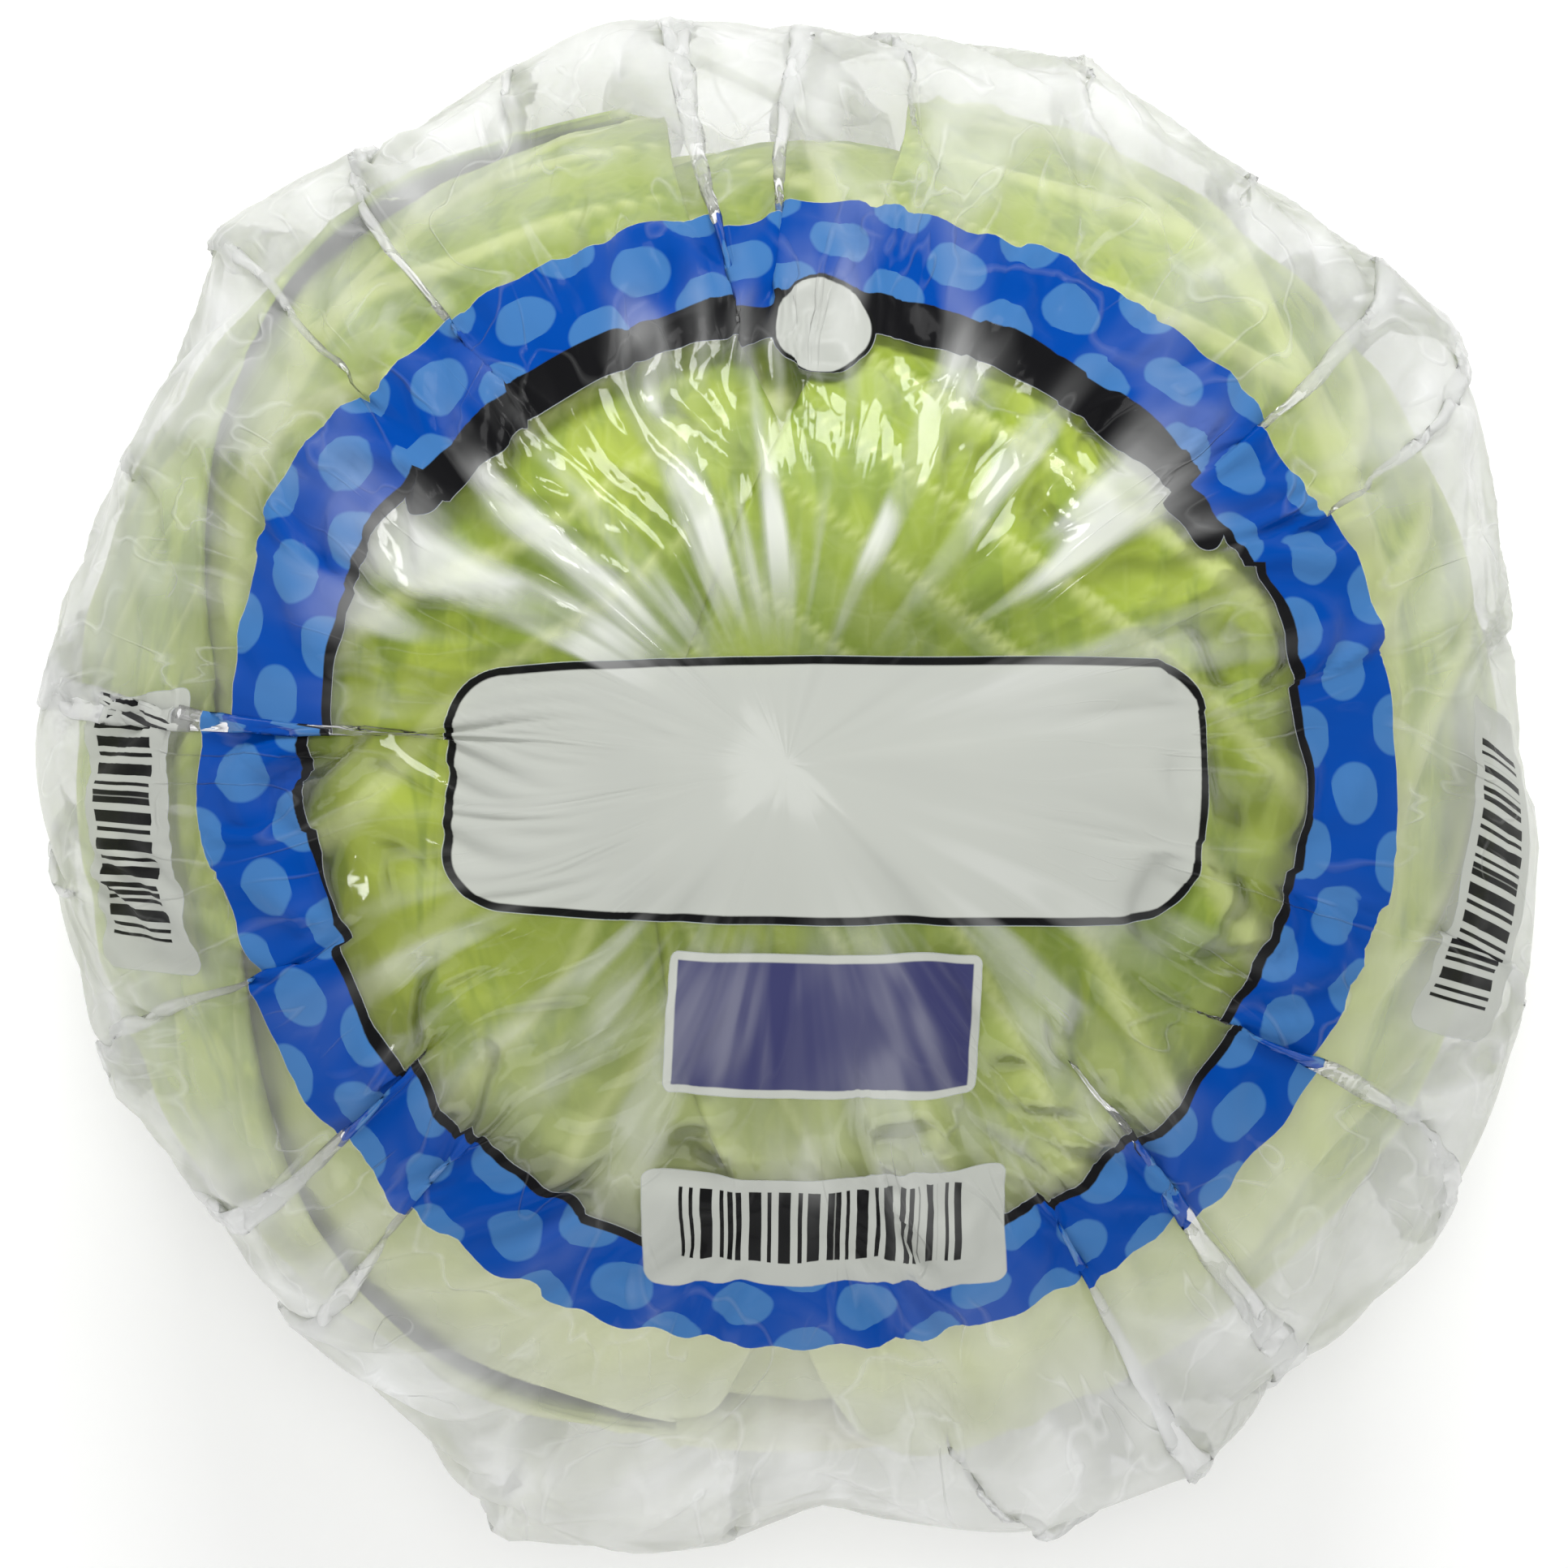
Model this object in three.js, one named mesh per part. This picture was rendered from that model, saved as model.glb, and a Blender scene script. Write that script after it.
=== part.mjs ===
// A green cabbage head lying on its side in a clear film wrap, in millimetres, +Z up.
// The stem points along -Y and the crown along +Y. The origin is the middle of the flat spot it rests on.
import * as THREE from "three";
import { mergeVertices } from "three/addons/utils/BufferGeometryUtils.js";

// The head, over its outermost leaves
const HALF_WIDTH = 77; // along X
const HALF_LENGTH = 74; // stem to crown, along Y
const HALF_HEIGHT = 66; // along Z
const HEAD_POWER = 2.12; // 2 is an ellipsoid, more is squarer
const HEAD_CENTRE_Z = 67.8;

// Leaves lie in pairs, one pair to a layer, from the heart outwards
const LEAF_THICKNESS = 1;
const LEAF_GAP = 1.2;
const LAYER_TURNS = [84, 148, 32]; // degrees about Y that each layer's first leaf is turned by, 90 faces up
const LAYER_PITCH = LEAF_THICKNESS + LEAF_GAP;
const LEAF_ARC_RADIUS = 75; // the blades are laid out flat and wrapped round a head of about this radius
const LEAF_START = 11; // degrees from the stem's pole
const LEAF_END = 165;
const LEAF_HALF_WIDTH = 91;
const LEAF_BASE_HALF_WIDTH = 7;
const LEAF_WIDEST_POWER = 0.92; // under 1 brings the widest place nearer the foot
const LEAF_FULLNESS = 0.85; // under 1 is a fuller blade
const LEAF_ACROSS = [0, 0.07, 0.22, 0.38, 0.54, 0.7, 0.85, 1]; // shares of the half width, close at the midrib
const LEAF_ROWS = 13;
const RIB_HEIGHT = [0.3, 0.3, 2.2]; // the midrib at the leaf's foot, one for each layer
const RIB_SPREAD = 6; // across the leaf
const RIB_FADE = 1.4; // how fast the midrib sinks towards the tip
const MARGIN_LIFT = [0, 0, 0.7]; // how far the waved margin stands out, one for each layer
const MARGIN_WAVES = 5;

// The heart and the cut stem
const HEART_DEPTH = LAYER_TURNS.length * LAYER_PITCH; // below the outermost leaves
const HEART_COLUMNS = 36;
const HEART_ROWS = 20;
const HEART_FOLDS = 5;
const HEART_FOLD_TWIST = 3; // radians from the middle to a pole
const HEART_FOLD_DEPTH = 1.2;
const HEART_FLAT_Y = -67; // the flat that the stem grows from
const STEM_RADIUS = 12;
const STEM_GAP = 0.35;
const STEM_END_Y = -75;
const STEM_SIDES = 20;
const STEM_ROOT_EDGE = [1, 1.2]; // inwards and along
const STEM_CUT_EDGE = [1.4, 1.6];
const STEM_CUT_DOME = 0.3;

// The film
const FILM_THICKNESS = 0.8;
const FILM_CLEARANCE = 2.1; // from the leaves to the film's outer face
const FILM_COLUMNS = 64;
const FILM_TOP = 0.01; // degrees, where the film closes to a point
const FILM_ROWS = [9, 19, 29, 39, 48, 57, 66, 74, 82, 90, 98, 106, 115, 124, 133, 142, 151]; // degrees from the top
const FLARE_START = 54; // degrees from the top where the loose film leaves the head
const FLARE_FULL = 90;
const FLARE_EASE = 92;
const FLARE_END = 134;
const GATHER_START = 100; // below this the film is pleated
const GATHER_FULL = 133;
const GATHER_DEPTH = 1.8;
// Corners of the loose film's edge seen from above: degrees from +X towards +Y, and reach from the head's middle
const FILM_CORNERS = [
  [5, 80.5], [25, 84.7], [34, 88.5], [43, 84.3], [56, 81.5], [67, 84.5], [89, 80.7],
  [104, 84.8], [119, 80.4], [136, 86.8], [146, 79.6], [163, 80.5], [180, 83.2], [207, 81.8],
  [214, 77.6], [228, 81.5], [241, 82.6], [249, 91.5], [263, 88], [273, 80.7], [286, 89.9],
  [300, 90.9], [310, 85.9], [320, 89.1], [336, 87.2], [354, 83.4],
];
// The pressed flat underneath: each ring's radius and its middle's Y. The last ring is the small mouth left open.
const PAD_RINGS = [[24, 0], [14, 5], [4.5, 11]];

const radians = THREE.MathUtils.degToRad;

function smoothstep(x, low, high) {
  return THREE.MathUtils.smoothstep(x, low, high);
}

// Distance from the head's middle to its outermost leaves in a direction.
function headReach(direction) {
  const share =
    Math.abs(direction.x / HALF_WIDTH) ** HEAD_POWER +
    Math.abs(direction.y / HALF_LENGTH) ** HEAD_POWER +
    Math.abs(direction.z / HALF_HEIGHT) ** HEAD_POWER;
  return share ** (-1 / HEAD_POWER);
}

// A point that lies a depth under the outermost leaves.
function onHead(direction, depth) {
  const point = direction.clone().multiplyScalar(headReach(direction) - depth);
  point.z += HEAD_CENTRE_Z;
  return point;
}

// A closed solid between two grids of points that have the same rows and columns.
// One that wraps round is a bag: its first row is a single point, and its last row is its mouth.
function solidBetween(outer, inner, wrapsRound) {
  const rows = outer.length;
  const columns = outer[0].length;
  const positions = [...outer.flat(), ...inner.flat()].flatMap((point) => point.toArray());
  const at = (side, i, j) => (side * rows + i) * columns + (wrapsRound && i === 0 ? 0 : j % columns);
  const index = [];
  const triangle = (...corners) => {
    if (new Set(corners).size === 3) index.push(...corners);
  };
  const quad = (a, b, c, d) => {
    triangle(a, b, c);
    triangle(a, c, d);
  };
  const lastRow = rows - 1;
  const lastColumn = wrapsRound ? columns : columns - 1;
  for (let i = 0; i < lastRow; i++)
    for (let j = 0; j < lastColumn; j++) {
      quad(at(0, i, j), at(0, i, j + 1), at(0, i + 1, j + 1), at(0, i + 1, j));
      quad(at(1, i + 1, j + 1), at(1, i, j + 1), at(1, i, j), at(1, i + 1, j));
    }
  for (let j = 0; j < lastColumn; j++) {
    quad(at(0, lastRow, j), at(0, lastRow, j + 1), at(1, lastRow, j + 1), at(1, lastRow, j));
    if (!wrapsRound) quad(at(0, 0, j + 1), at(0, 0, j), at(1, 0, j), at(1, 0, j + 1));
  }
  for (let i = 0; i < lastRow && !wrapsRound; i++) {
    quad(at(0, i, 0), at(0, i + 1, 0), at(1, i + 1, 0), at(1, i, 0));
    quad(at(0, i + 1, lastColumn), at(0, i, lastColumn), at(1, i, lastColumn), at(1, i + 1, lastColumn));
  }
  const geometry = new THREE.BufferGeometry();
  geometry.setAttribute("position", new THREE.Float32BufferAttribute(positions, 3));
  geometry.setIndex(index);
  return geometry;
}

function named(name, geometry, color, roughness, extra = {}) {
  geometry.computeVertexNormals();
  const material = new THREE.MeshStandardMaterial({ color, roughness, metalness: 0, ...extra });
  const mesh = new THREE.Mesh(geometry, material);
  mesh.name = name;
  return mesh;
}

// The heart: a dense ball with long shallow folds from stem to crown, cut flat where the stem grows.
function makeHeart() {
  const ball = new THREE.SphereGeometry(1, HEART_COLUMNS, HEART_ROWS);
  ball.deleteAttribute("uv");
  ball.deleteAttribute("normal");
  const geometry = mergeVertices(ball);
  const position = geometry.getAttribute("position");
  const direction = new THREE.Vector3();
  for (let i = 0; i < position.count; i++) {
    direction.fromBufferAttribute(position, i).normalize();
    const turn = Math.atan2(direction.z, direction.x);
    const waist = 1 - direction.y ** 2;
    const wave = Math.sin(HEART_FOLDS * turn + HEART_FOLD_TWIST * direction.y);
    const fold = HEART_FOLD_DEPTH * waist * (0.5 + 0.5 * wave);
    const point = onHead(direction, HEART_DEPTH + fold);
    position.setXYZ(i, point.x, Math.max(point.y, HEART_FLAT_Y), point.z);
  }
  return named("heart", geometry, "#c3d38a", 0.55);
}

// The cut butt of the stem, turned from -Y and slightly domed at the cut.
function makeStem() {
  const length = HEART_FLAT_Y - STEM_GAP - STEM_END_Y;
  const profile = [
    [0, 0],
    [STEM_RADIUS - STEM_ROOT_EDGE[0], 0],
    [STEM_RADIUS, STEM_ROOT_EDGE[1]],
    [STEM_RADIUS, length - STEM_CUT_EDGE[1]],
    [STEM_RADIUS - STEM_CUT_EDGE[0], length - STEM_CUT_DOME],
    [0, length],
  ].map(([radius, height]) => new THREE.Vector2(radius, height));
  const lathe = new THREE.LatheGeometry(profile, STEM_SIDES);
  lathe.rotateX(Math.PI);
  lathe.translate(0, HEART_FLAT_Y - STEM_GAP, HEAD_CENTRE_Z);
  return named("stem", lathe, "#e4e6c6", 0.6);
}

// Half the width of a leaf a share of the way from its foot to its tip.
function leafHalfWidth(along) {
  const swell = Math.sin(Math.PI * along ** LEAF_WIDEST_POWER) ** LEAF_FULLNESS;
  return LEAF_BASE_HALF_WIDTH + (LEAF_HALF_WIDTH - LEAF_BASE_HALF_WIDTH) * swell;
}

// One wrapper leaf: a round thin blade from the stem to near the crown, with a raised midrib.
function makeLeaf(number, layer, turn) {
  const middle = radians((LEAF_START + LEAF_END) / 2);
  const outward = new THREE.Vector3(Math.cos(turn), 0, Math.sin(turn));
  const crown = new THREE.Vector3(0, 1, 0);
  const centre = outward.clone().multiplyScalar(Math.sin(middle)).addScaledVector(crown, -Math.cos(middle));
  const lengthwise = outward.clone().multiplyScalar(Math.cos(middle)).addScaledVector(crown, Math.sin(middle));
  const sideways = new THREE.Vector3().crossVectors(lengthwise, centre);
  const depth = (LAYER_TURNS.length - 1 - layer) * LAYER_PITCH;
  const length = radians(LEAF_END - LEAF_START) * LEAF_ARC_RADIUS;
  const across = [...LEAF_ACROSS.slice(1).reverse().map((share) => -share), ...LEAF_ACROSS];
  const outer = [];
  const inner = [];
  for (let i = 0; i <= LEAF_ROWS; i++) {
    const along = i / LEAF_ROWS;
    const v = (along - 0.5) * length;
    const halfWidth = leafHalfWidth(along);
    const rib = RIB_HEIGHT[layer] * (1 - along) ** RIB_FADE;
    const outerRow = [];
    const innerRow = [];
    for (const share of across) {
      const u = share * halfWidth;
      const distance = Math.hypot(u, v);
      const direction = centre.clone();
      if (distance > 0) {
        const arc = distance / LEAF_ARC_RADIUS;
        direction.multiplyScalar(Math.cos(arc));
        direction.addScaledVector(sideways, (u / distance) * Math.sin(arc));
        direction.addScaledVector(lengthwise, (v / distance) * Math.sin(arc));
      }
      const wave = 0.5 + 0.5 * Math.sin(2 * Math.PI * MARGIN_WAVES * along + number);
      const lift = MARGIN_LIFT[layer] * wave * Math.abs(share) ** 4;
      const ribHere = rib * Math.exp(-((u / RIB_SPREAD) ** 2));
      outerRow.push(onHead(direction, depth - lift - ribHere));
      innerRow.push(onHead(direction, depth + LEAF_THICKNESS - lift));
    }
    outer.push(outerRow);
    inner.push(innerRow);
  }
  const geometry = solidBetween(outer, inner, false);
  return named("wrapper_leaf_" + number, geometry, layer === 2 ? "#9db44a" : "#b4c766", 0.5);
}

// How far the loose film reaches from the head's middle at an angle, along straight edges between its corners.
function filmReach(degrees) {
  const count = FILM_CORNERS.length;
  const next = FILM_CORNERS.findIndex(([angle]) => angle > degrees);
  const [afterAngle, afterReach] = FILM_CORNERS[Math.max(next, 0)];
  const [beforeAngle, beforeReach] = FILM_CORNERS[(Math.max(next, 0) + count - 1) % count];
  const ahead = radians((afterAngle - degrees + 360) % 360);
  const behind = radians((degrees - beforeAngle + 360) % 360);
  const across = afterReach * Math.sin(ahead) + beforeReach * Math.sin(behind);
  return (afterReach * beforeReach * Math.sin(ahead + behind)) / across;
}

// A point on the film's outer face. Columns run clockwise seen from above.
function onFilm(degreesFromTop, column) {
  const turn = 360 - (360 * column) / FILM_COLUMNS;
  const down = radians(degreesFromTop);
  const direction = new THREE.Vector3(
    Math.sin(down) * Math.cos(radians(turn)),
    Math.sin(down) * Math.sin(radians(turn)),
    Math.cos(down),
  );
  const point = onHead(direction, -FILM_CLEARANCE);
  const tight = Math.hypot(point.x, point.y);
  const flare = smoothstep(degreesFromTop, FLARE_START, FLARE_FULL);
  const loose = flare * (1 - smoothstep(degreesFromTop, FLARE_EASE, FLARE_END));
  const pleat = (column % 2) * GATHER_DEPTH * smoothstep(degreesFromTop, GATHER_START, GATHER_FULL);
  const reach = tight + loose * Math.max(0, filmReach(turn % 360) - tight) + pleat;
  point.x *= reach / tight;
  point.y *= reach / tight;
  return point;
}

// A ring of the pressed flat, whose outer face is at the height that the part rests on.
function onPad([radius, middleY], column) {
  const turn = radians(360 - (360 * column) / FILM_COLUMNS);
  return new THREE.Vector3(radius * Math.cos(turn), middleY + radius * Math.sin(turn), 0);
}

// The same grid moved inwards by the film's thickness.
function insideOf(grid) {
  const columns = FILM_COLUMNS;
  return grid.map((row, i) =>
    row.map((point, j) => {
      const above = grid[Math.max(i - 1, 0)][j];
      const below = grid[Math.min(i + 1, grid.length - 1)][j];
      const right = row[(j + 1) % columns];
      const left = row[(j + columns - 1) % columns];
      const normal = new THREE.Vector3().subVectors(right, left).cross(below.clone().sub(above)).normalize();
      if (i === 0) normal.set(0, 0, 1);
      return point.clone().addScaledVector(normal, -FILM_THICKNESS);
    }),
  );
}

// The film: one skin round the whole head, loose at its sides, pleated and pressed flat underneath.
function makeFilm() {
  const columns = [...Array(FILM_COLUMNS).keys()];
  const outer = [
    columns.map((column) => onFilm(FILM_TOP, column)),
    ...FILM_ROWS.map((degrees) => columns.map((column) => onFilm(degrees, column))),
    ...PAD_RINGS.map((ring) => columns.map((column) => onPad(ring, column))),
  ];
  const geometry = solidBetween(outer, insideOf(outer), true);
  return named("film_wrap", geometry, "#dfe3e0", 0.12, { transparent: true, opacity: 0.35 });
}

const head = new THREE.Group();
head.add(makeHeart(), makeStem());
LAYER_TURNS.forEach((turn, layer) => {
  head.add(makeLeaf(2 * layer + 1, layer, radians(turn)));
  head.add(makeLeaf(2 * layer + 2, layer, radians(turn + 180)));
});

const part = new THREE.Group();
part.add(head, makeFilm());

export default part;
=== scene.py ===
import math

import bpy
import numpy as np
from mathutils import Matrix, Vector


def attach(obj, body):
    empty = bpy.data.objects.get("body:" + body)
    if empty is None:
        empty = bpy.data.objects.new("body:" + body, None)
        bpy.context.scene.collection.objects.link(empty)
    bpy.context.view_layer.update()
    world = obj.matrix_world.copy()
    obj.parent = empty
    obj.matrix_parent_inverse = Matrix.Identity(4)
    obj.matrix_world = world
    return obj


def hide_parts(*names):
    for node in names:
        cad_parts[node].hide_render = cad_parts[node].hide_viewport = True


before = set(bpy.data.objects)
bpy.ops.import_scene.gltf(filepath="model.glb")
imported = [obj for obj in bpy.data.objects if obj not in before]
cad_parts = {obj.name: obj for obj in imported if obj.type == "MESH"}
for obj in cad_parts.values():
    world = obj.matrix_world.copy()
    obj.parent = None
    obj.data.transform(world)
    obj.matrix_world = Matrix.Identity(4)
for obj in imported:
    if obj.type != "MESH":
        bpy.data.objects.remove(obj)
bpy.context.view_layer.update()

METRES = 0.001
TINY = 1e-9  # added to a divisor that may be 0

# The head, over its outermost leaves
HALF_SIZE = np.array([77.0, 74.0, 66.0])
HEAD_POWER = 2.12
HEAD_CENTRE = np.array([0.0, 0.0, 67.8])

# Wrapper leaves: two to a layer, from the heart outwards
LAYER_TURNS = (84, 148, 32)
LAYER_PITCH = 2.2
LEAF_COUNT = 2 * len(LAYER_TURNS)
LEAF_ARC_RADIUS = 75.0
LEAF_START = 11  # degrees from the stem's pole
LEAF_END = 165
LEAF_LENGTH = math.radians(LEAF_END - LEAF_START) * LEAF_ARC_RADIUS
LEAF_HALF_WIDTH = 91.0
LEAF_FOOT_HALF_WIDTH = 7.0
LEAF_WIDEST = 0.92  # below 1, a leaf is widest nearer its foot than its tip
LEAF_ROUNDNESS = 0.85  # below 1, its ends are blunt
LEAF_THICKNESS = 0.9
LEAF_RIM = (0.9, 1.0)  # shares of the half width over which the blade thins
LEAF_RIM_THINNING = 0.6
INNER_RELIEF = 0.6  # the inner face follows the outer one up to this height
LEAF_GRID = (70, 110, 170)  # cells each way, one for each layer
LOWEST_LEAF = 1.0  # leaves are pressed flat this far above the table

# A wrapper leaf's relief: heights by layer, ripples as height and length, starts as distances from the rib
LEAF_VARIETY = 1.7
RIB_HEIGHT = (0.5, 0.6, 2.2)
RIB_WIDTH, RIB_FOOT_WIDENING = 1.6, 5.5
RIB_TIP_SHARE, RIB_TAPER = 0.15, 1.4
RIB_RIPPLE = (1.5, 31)
ACROSS_RIPPLE = (2.2, 17)
ALONG_RIPPLE = (1.8, 13)
ASKEW_RIPPLE = (1.2, 8.3)
VEIN_HEIGHT = (0.3, 0.5, 1.0)
VEIN_SPACING = 19.0
VEIN_COURSE = (0.62, 0.0042)  # slope from the rib, and bend
VEIN_WIDTH, VEIN_ROOT_WIDENING = 1.0, 1.5
VEIN_TIP_SHARE = 0.45
BRANCHES = dict(spacing=11.0, course=(0.05, 0.008), rippling=1.5, width=1.6, share=0.22, start=(10, 30))
CROSSINGS = dict(spacing=13.2, course=(-0.9, 0.0), rippling=1.6, width=1.4, share=0.06, start=(6, 22))
PUCKER_HEIGHT = (0.15, 0.25, 0.45)
PUCKER_LENGTHS = (9.7, 15.3)
MARGIN_LIFT = (0.0, 0.3, 1.4)
MARGIN_WAVES = 5
MARGIN_POWER = 4

# The heart and the cut stem
HEART_DEPTH = len(LAYER_TURNS) * LAYER_PITCH
HEART_FLAT_Y = -67.0
HEART_GRID = (120, 200)
HEART_POLE = 0.5  # degrees left open round each pole, closed by a flat face
HEART_FOLDS = 5
HEART_FOLD_DEPTH = 1.2
HEART_VEINS = dict(spacing=14, width=1.6, height=0.25)
STEM_RADIUS = 12.0
STEM_ENDS = (-67.35, -75.0)
STEM_COLUMNS = 72

# The film, cut as a round sheet and drawn together under the head
FILM_RADIUS = 226.0
FILM_GAP = 0.8
FLOOR_GAP = 0.3
LAYERS_GAP = 1.6  # room between the head and the film's outside for the folded layers
FILM_ROWS = 160
FILM_COLUMNS = 512
MOST_GATHERED = 6.5
MOUTH_Y = 11.0
MOUTH_REACH = (4, 30)
# Degrees from the top over which the loose film stands out to its corners, and comes in again
FLARE_STARTS = (60, 88)
FLARE_ENDS = (96, 140)
# Corners of the loose film's edge from above: degrees from +X towards +Y, and reach from the head's middle
FILM_CORNERS = (
    (5, 80.5), (25, 84.7), (34, 88.5), (43, 84.3), (56, 81.5), (67, 84.5), (89, 80.7),
    (104, 84.8), (119, 80.4), (136, 86.8), (146, 79.6), (163, 80.5), (180, 83.2), (207, 81.8),
    (214, 77.6), (228, 81.5), (241, 82.6), (249, 91.5), (263, 88), (273, 80.7), (286, 89.9),
    (300, 90.9), (310, 85.9), (320, 89.1), (336, 87.2), (354, 83.4),
)
# Folds: where in the same degrees, how wide beside the others, the flat film's radius where each starts,
# and how far the print steps outwards across it, because the fold lies askew
FOLDS = (
    (9, 0.5, 58, 0.9), (25, 1.1, 48, -1.5), (36, 1.5, 46, 2.3), (50, 0.6, 66, 0.5), (63, 0.6, 62, -0.6),
    (76, 0.6, 60, 0.4), (86, 1.4, 44, -1.6), (97, 1.7, 42, 2.4), (111, 0.6, 62, 0.4), (125, 1.4, 46, -1.5),
    (138, 1.2, 46, 1.5), (155, 0.6, 60, -0.5), (174, 2.6, 38, 3.4), (190, 0.6, 62, -0.6), (204, 1.5, 46, 2.0),
    (221, 1.8, 44, -2.6), (234, 1.6, 44, -2.1), (251, 0.6, 64, 0.5), (268, 0.5, 70, 0.0), (284, 0.6, 66, 0.5),
    (299, 1.4, 46, 2.1), (312, 1.9, 42, 2.7), (331, 1.7, 44, -2.2), (347, 0.7, 60, 0.9),
)
# Radii of flat film over which something comes in
STEPS_START = (40, 54)
FOLD_GROWTH = 45  # from a fold's start to its full width
EVEN_FOLDS_START = (125, 185)
LOOSENS = (36, 66)
SLIDE_ENDS = (185, 215)
LAYERS_START = (30, 80)
LONG_SINK_START = (130, 165)
# Small turns of the folds, as shares of a whole turn
MOST_LEAN = 0.012
MOST_BOW = 0.006
LEAN_OVER = (95, 60)  # middle radius, and reach to either side
BOW_LENGTH = 17
# Columns of points lie closer together at a fold, within a share of a turn
TURN_SAMPLES = 7200
FOLD_DENSITY, FOLD_DENSE_WITHIN = 1.6, 0.009
# How thick a fold's three layers stand, by radius of flat film
LAYERS_THICKNESS = ((0, 0.0), (36, 0.25), (74, 1.1), (110, 2.0), (150, 3.0), (190, 3.0), (226, 1.3))
SINK_LENGTH = 14
# How far the film has slid in or out between the folds, and in at them
MOST_SLIDE = 2.6
SLIDE_OFFSET = 3
SLIDE_ROUGHNESS, SLIDE_SMOOTHING = 1.1, 16
FOLD_DRAW, FOLD_DRAW_WITHIN = 2.4, 0.012
CRINKLE_HEIGHT, CRINKLE_SMOOTHING = 0.42, 9

# Settling: shares of a stretch that one step takes back, and how far a bend may shorten two edges
SETTLING_STEPS = 110
SETTLING_DRAG = 0.85
STRETCH_TAKEN = 0.25
SLANT_TAKEN = 0.19
BEND_AROUND = 0.985
BEND_AROUND_TAKEN = 0.02
BEND_OUTWARDS = 0.992
BEND_OUTWARDS_TAKEN = 0.03
SOFTER_UNDER = 0.6
SOFTER_START = (120, 160)
MOST_ROW_STRETCH = 0.12
OUTER_SLACK = 0.4

# How milky the film is, by radius of flat film
MILK = ((0, 0.006), (50, 0.012), (66, 0.06), (78, 0.20), (88, 0.34), (100, 0.50), (118, 0.30), (230, 0.26))
MILK_RANGE = (0.005, 0.7)
MILK_VARIES = 0.12
MILK_PATCH_RADII = (0, 90, 120, 150, 180, 230)
MILK_SMOOTHING = 12

# The print, in millimetres of flat film from its own centre
PRINT_CENTRE = (3.1, -2.6)
INK_EDGE = 0.18  # width over which ink comes in
RING = (56.4, 69.4)
RING_LINE = (55.1, 56.5)
DOT_RADIUS = 3.3
DOT_EDGE = 0.3
DOT_ROW = 6.3
FIRST_DOT_ROW = 56.9
DOTS_ROUND = 30
BANNER_RADIUS = 53.4
BANNER_HALF_WIDTH = 2.5
BANNER_TURNS = (33, 141)
DISC_MIDDLE = (3.1, 51.4)
DISC_RADIUS = 5.6
DISC_LINE = 0.5
NAME_PANEL = dict(middle=(1.2, -0.3), half=(41.1, 14.0), corner=6.6)
SMALL_PANEL = dict(middle=(1.2, -25.2), half=(16.5, 7.8), corner=1.0)
BAR_PATCHES = (
    dict(middle=(2.4, -51.2), half=(19.8, 8.0), corner=1.5, turn=0),
    dict(middle=(-82.5, -4.0), half=(19.5, 8.0), corner=1.5, turn=90),
    dict(middle=(90.0, -10.0), half=(19.5, 8.0), corner=1.5, turn=75),
)
OUTLINE = 0.9
STRIPE_WAVES = (2.3, 3.9, 6.1)
STRIPES_HALF = (15.7, 5.4)
STRIPES_UP = 0.8
STRIPE_EDGE = 0.1
INK_COVER = dict(
    ring=0.99, black=0.985, disc_line=0.95, disc=0.93, white=0.90, blue_panel=0.95, stripes=0.97
)

# Linear colours
BLUE = (0.0, 0.052, 0.31)
DOT_BLUE = (0.045, 0.155, 0.38)
INK_BLACK = (0.006, 0.006, 0.007)
INK_WHITE = (0.455, 0.47, 0.435)
PANEL_BLUE = (0.040, 0.042, 0.12)
FILM_WHITE = (0.73, 0.74, 0.73)
# White of the painted glare on the film
GLARE_WHITE = (0.90, 0.91, 0.90)
LEAF_DARK = (0.17, 0.27, 0.006)
LEAF_GREEN = (0.28, 0.385, 0.012)
LEAF_PALE = (0.48, 0.585, 0.055)
# Painted light on the leaves towards the head's sides
LEAF_PAINTED_LIGHT = (0.44, 0.55, 0.055)
LEAF_FOOT = (0.62, 0.66, 0.36)
VEIN_PALE = (0.62, 0.70, 0.24)
STEM_CREAM = (0.72, 0.70, 0.48)
STEM_FIBRE = (0.50, 0.42, 0.22)
FLOOR_TONES = ((0.96, 0.96, 0.96), (0.93, 0.93, 0.93))

# Painted light: leaves turn brighter towards the head's sides, over these distances from its middle, seen
# from above, standing in for light that the milky film passes onto them
PAINTED_LIGHT_SIDES = (52, 72)
STROKE_SCALES = (150, 32, 150)

# The film's look, at radii of flat film
STREAKS_ROUND = 8.0
STREAKS_OUTWARDS = 0.03
CREASES_START = (20, 70)
# Where the painted glare over the top starts and fades
GLARE_STARTS = (10, 26)
GLARE_FADES = (44, 62)
LOOSE_START = (62, 88)
TIGHT_STREAKS_START = (14, 44)
LOOSE_STREAKS_START = (40, 70)
FILM_BUMP = 1.7
FILM_IOR = 1.46
MOST_OPAQUE = 0.99

# The camera looks straight down from this height over the head's middle plane
CAMERA_HEIGHT = 900.0
CAMERA_OVER = (-0.2, -2.1)
FRAME_WIDTH = 172.5
SENSOR = 36.0

# The studio, in metres and watts
FLOOR_HALF = 2.0
LIGHTS = dict(  # place, size and power
    key=((0.03, 0.72, 0.70), (0.52, 0.32), 6.2),
    top=((0.0, 0.0, 1.4), (0.3, 0.3), 5.5),
    left=((-1.4, -0.1, 0.55), (1.8, 0.8), 4.2),
    right=((1.4, -0.1, 0.55), (1.8, 0.8), 3.2),
    foot=((0.0, -1.4, 0.55), (1.8, 0.8), 8.3),
)
SKY_STRENGTH = 0.45


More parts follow.
